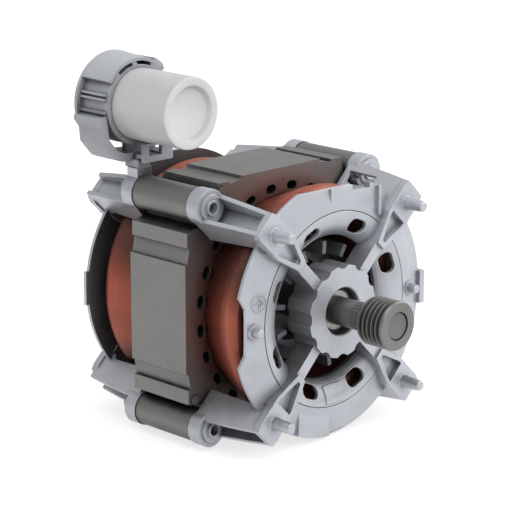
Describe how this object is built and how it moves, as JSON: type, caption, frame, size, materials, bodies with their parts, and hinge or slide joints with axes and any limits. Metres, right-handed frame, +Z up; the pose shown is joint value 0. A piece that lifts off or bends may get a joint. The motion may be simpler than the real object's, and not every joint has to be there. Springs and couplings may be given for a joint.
{
  "type": "single-phase induction motor",
  "caption": "Washing machine motor with die-cast ribbed end shields, laminated stator, fan-bladed rotor, poly-V pulley and a run capacitor in a clip-on holder.",
  "frame": {"origin": "on the shaft axis, in the plane of the four mounting pads at the drive end", "axes": "-Y out of the drive end along the shaft, +Z up towards the capacitor side, +X to the right seen from the drive end"},
  "size_m": [0.1268, 0.1381, 0.161],
  "materials": {
    "shield_alloy": "satin as-cast",
    "lamination_steel": "lacquered laminations",
    "copper_wire": "enamelled copper wire",
    "slot_paper": "matte",
    "slot_wedge": "matte",
    "plated_steel": "zinc plated",
    "cage_alloy": "as-cast",
    "shaft_steel": "ground",
    "pulley_steel": "machined",
    "bearing_steel": "ground",
    "cage_brass": "pressed",
    "seal_rubber": "moulded",
    "black_plastic": "moulded",
    "can_plastic": "moulded",
    "holder_plastic": "moulded"
  },
  "bodies": {
    "housing": {"front_shield": "shield_alloy", "rear_shield": "shield_alloy", "stator_core": "lamination_steel", "stator_winding": "copper_wire", "slot_liners": "slot_paper", "slot_wedges": "slot_wedge", "stack_rivets": "plated_steel", "tie_screws": "plated_steel", "front_outer_race": "bearing_steel", "front_seals": "seal_rubber", "rear_outer_race": "bearing_steel", "rear_seals": "seal_rubber", "wave_spring": "plated_steel", "thermal_protector": "black_plastic", "capacitor_can": "can_plastic", "capacitor_lid": "black_plastic", "capacitor_holder": "holder_plastic", "holder_screw": "plated_steel"},
    "rotor": {"shaft": "shaft_steel", "rotor_core": "lamination_steel", "rotor_cage": "cage_alloy", "drive_pulley": "pulley_steel", "front_inner_race": "bearing_steel", "rear_inner_race": "bearing_steel"},
    "front_ball_set": {"front_balls": "bearing_steel", "front_ball_cage": "cage_brass"},
    "rear_ball_set": {"rear_balls": "bearing_steel", "rear_ball_cage": "cage_brass"}
  },
  "joints": [
    {"name": "rotor_spin", "type": "hinge", "parent": "housing", "child": "rotor", "pos_m": [0, 0, 0], "axis": [0, -1, 0], "continuous": true},
    {"name": "front_balls_orbit", "type": "hinge", "parent": "housing", "child": "front_ball_set", "pos_m": [0, 0, 0], "axis": [0, -1, 0], "continuous": true},
    {"name": "rear_balls_orbit", "type": "hinge", "parent": "housing", "child": "rear_ball_set", "pos_m": [0, 0, 0], "axis": [0, -1, 0], "continuous": true}
  ],
  "couplings": [
    {"joint": "front_balls_orbit", "follows": "rotor_spin", "ratio": 0.381},
    {"joint": "rear_balls_orbit", "follows": "rotor_spin", "ratio": 0.381}
  ]
}
